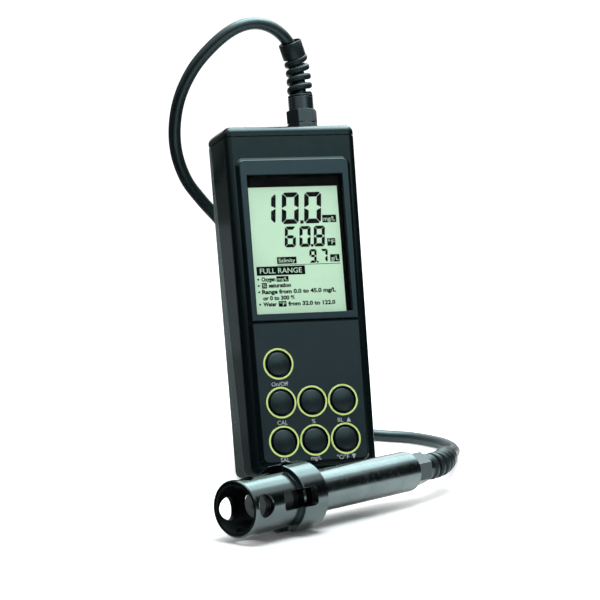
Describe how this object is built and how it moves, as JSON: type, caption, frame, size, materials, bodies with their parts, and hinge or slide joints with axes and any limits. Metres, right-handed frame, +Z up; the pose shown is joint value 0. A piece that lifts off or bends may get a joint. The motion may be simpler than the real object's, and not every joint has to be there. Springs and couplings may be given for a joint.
{
  "type": "dissolved oxygen meter with probe",
  "caption": "Hand-held meter with a display, round keys and a fold-out stand, joined by a cable with spiral strain reliefs to a round probe with a slotted guard.",
  "frame": {"origin": "centre of the bounding box of everything but the cable, on the surface that the meter and the probe stand on", "axes": "+Z up; +Y from the probe in front to the stand behind; +X to the right as seen from the front of the display, along the meter's width"},
  "size_m": [0.2029, 0.2913, 0.247],
  "materials": {
    "case_dark": "fine satin grain",
    "case_light": "fine satin grain",
    "frame": "satin",
    "keypad": "satin film",
    "key": "satin, domed",
    "ring": "printed, matt",
    "window": "clear, polished",
    "display": "lit from behind",
    "backlight": "milky",
    "rubber": "matt",
    "steel": "brushed",
    "board": "solder mask",
    "chip": "matt",
    "battery": "printed metal",
    "gland": "satin",
    "cable": "satin sheath",
    "probe": "polished",
    "stem": "satin",
    "sensor_cap": "satin, ribbed",
    "membrane": "thin film",
    "gold": "polished",
    "silver": "matt"
  },
  "bodies": {
    "meter_and_probe": {"front_shell": "case_dark", "rear_shell": "case_light", "case_gasket": "rubber", "case_screws": "steel", "top_cap": "case_dark", "cap_gasket": "rubber", "cap_screws": "steel", "display_frame": "frame", "display_window": "window", "lcd_glass": "display", "lcd_backlight": "backlight", "keypad_overlay": "keypad", "key_rings": "ring", "keypad_mat": "rubber", "main_board": "board", "board_parts": "chip", "board_screws": "steel", "battery": "battery", "battery_snap": "chip", "battery_cover": "case_light", "battery_gasket": "rubber", "battery_screws": "steel", "stand_pin": "steel", "top_gland_body": "gland", "top_gland_locknut": "gland", "top_gland_seal": "rubber", "top_gland_nut": "gland", "top_gland_spiral": "gland", "cable": "cable", "probe_body": "probe", "probe_gland_body": "gland", "probe_gland_seal": "rubber", "probe_gland_nut": "gland", "probe_gland_spiral": "gland", "sensor_stem": "stem", "stem_ring": "rubber", "cathode": "gold", "anode": "silver", "membrane_cap": "sensor_cap", "membrane": "membrane", "membrane_ring": "rubber", "temperature_sensor": "steel"},
    "key_power": {"key_power": "key"},
    "key_cal": {"key_cal": "key"},
    "key_percent": {"key_percent": "key"},
    "key_up": {"key_up": "key"},
    "key_salinity": {"key_salinity": "key"},
    "key_unit": {"key_unit": "key"},
    "key_down": {"key_down": "key"},
    "stand": {"stand": "case_dark"},
    "guard": {"probe_guard": "probe"}
  },
  "joints": [
    {"name": "key_power_press", "type": "slide", "parent": "meter_and_probe", "child": "key_power", "axis": [0, 0.9707, -0.2402], "range_m": [0, 0.0008], "stiffness_N_per_m": 600},
    {"name": "key_cal_press", "type": "slide", "parent": "meter_and_probe", "child": "key_cal", "axis": [0, 0.9707, -0.2402], "range_m": [0, 0.0008], "stiffness_N_per_m": 600},
    {"name": "key_percent_press", "type": "slide", "parent": "meter_and_probe", "child": "key_percent", "axis": [0, 0.9707, -0.2402], "range_m": [0, 0.0008], "stiffness_N_per_m": 600},
    {"name": "key_up_press", "type": "slide", "parent": "meter_and_probe", "child": "key_up", "axis": [0, 0.9707, -0.2402], "range_m": [0, 0.0008], "stiffness_N_per_m": 600},
    {"name": "key_salinity_press", "type": "slide", "parent": "meter_and_probe", "child": "key_salinity", "axis": [0, 0.9707, -0.2402], "range_m": [0, 0.0008], "stiffness_N_per_m": 600},
    {"name": "key_unit_press", "type": "slide", "parent": "meter_and_probe", "child": "key_unit", "axis": [0, 0.9707, -0.2402], "range_m": [0, 0.0008], "stiffness_N_per_m": 600},
    {"name": "key_down_press", "type": "slide", "parent": "meter_and_probe", "child": "key_down", "axis": [0, 0.9707, -0.2402], "range_m": [0, 0.0008], "stiffness_N_per_m": 600},
    {"name": "stand_fold", "type": "hinge", "parent": "meter_and_probe", "child": "stand", "pos_m": [0.0143, 0.09287, 0.09057], "axis": [-1, 0, 0], "range_deg": [0, 28]},
    {"name": "guard_slide", "type": "slide", "parent": "meter_and_probe", "child": "guard", "axis": [-0.8462, -0.5329, 0], "range_m": [0, 0.062]}
  ]
}
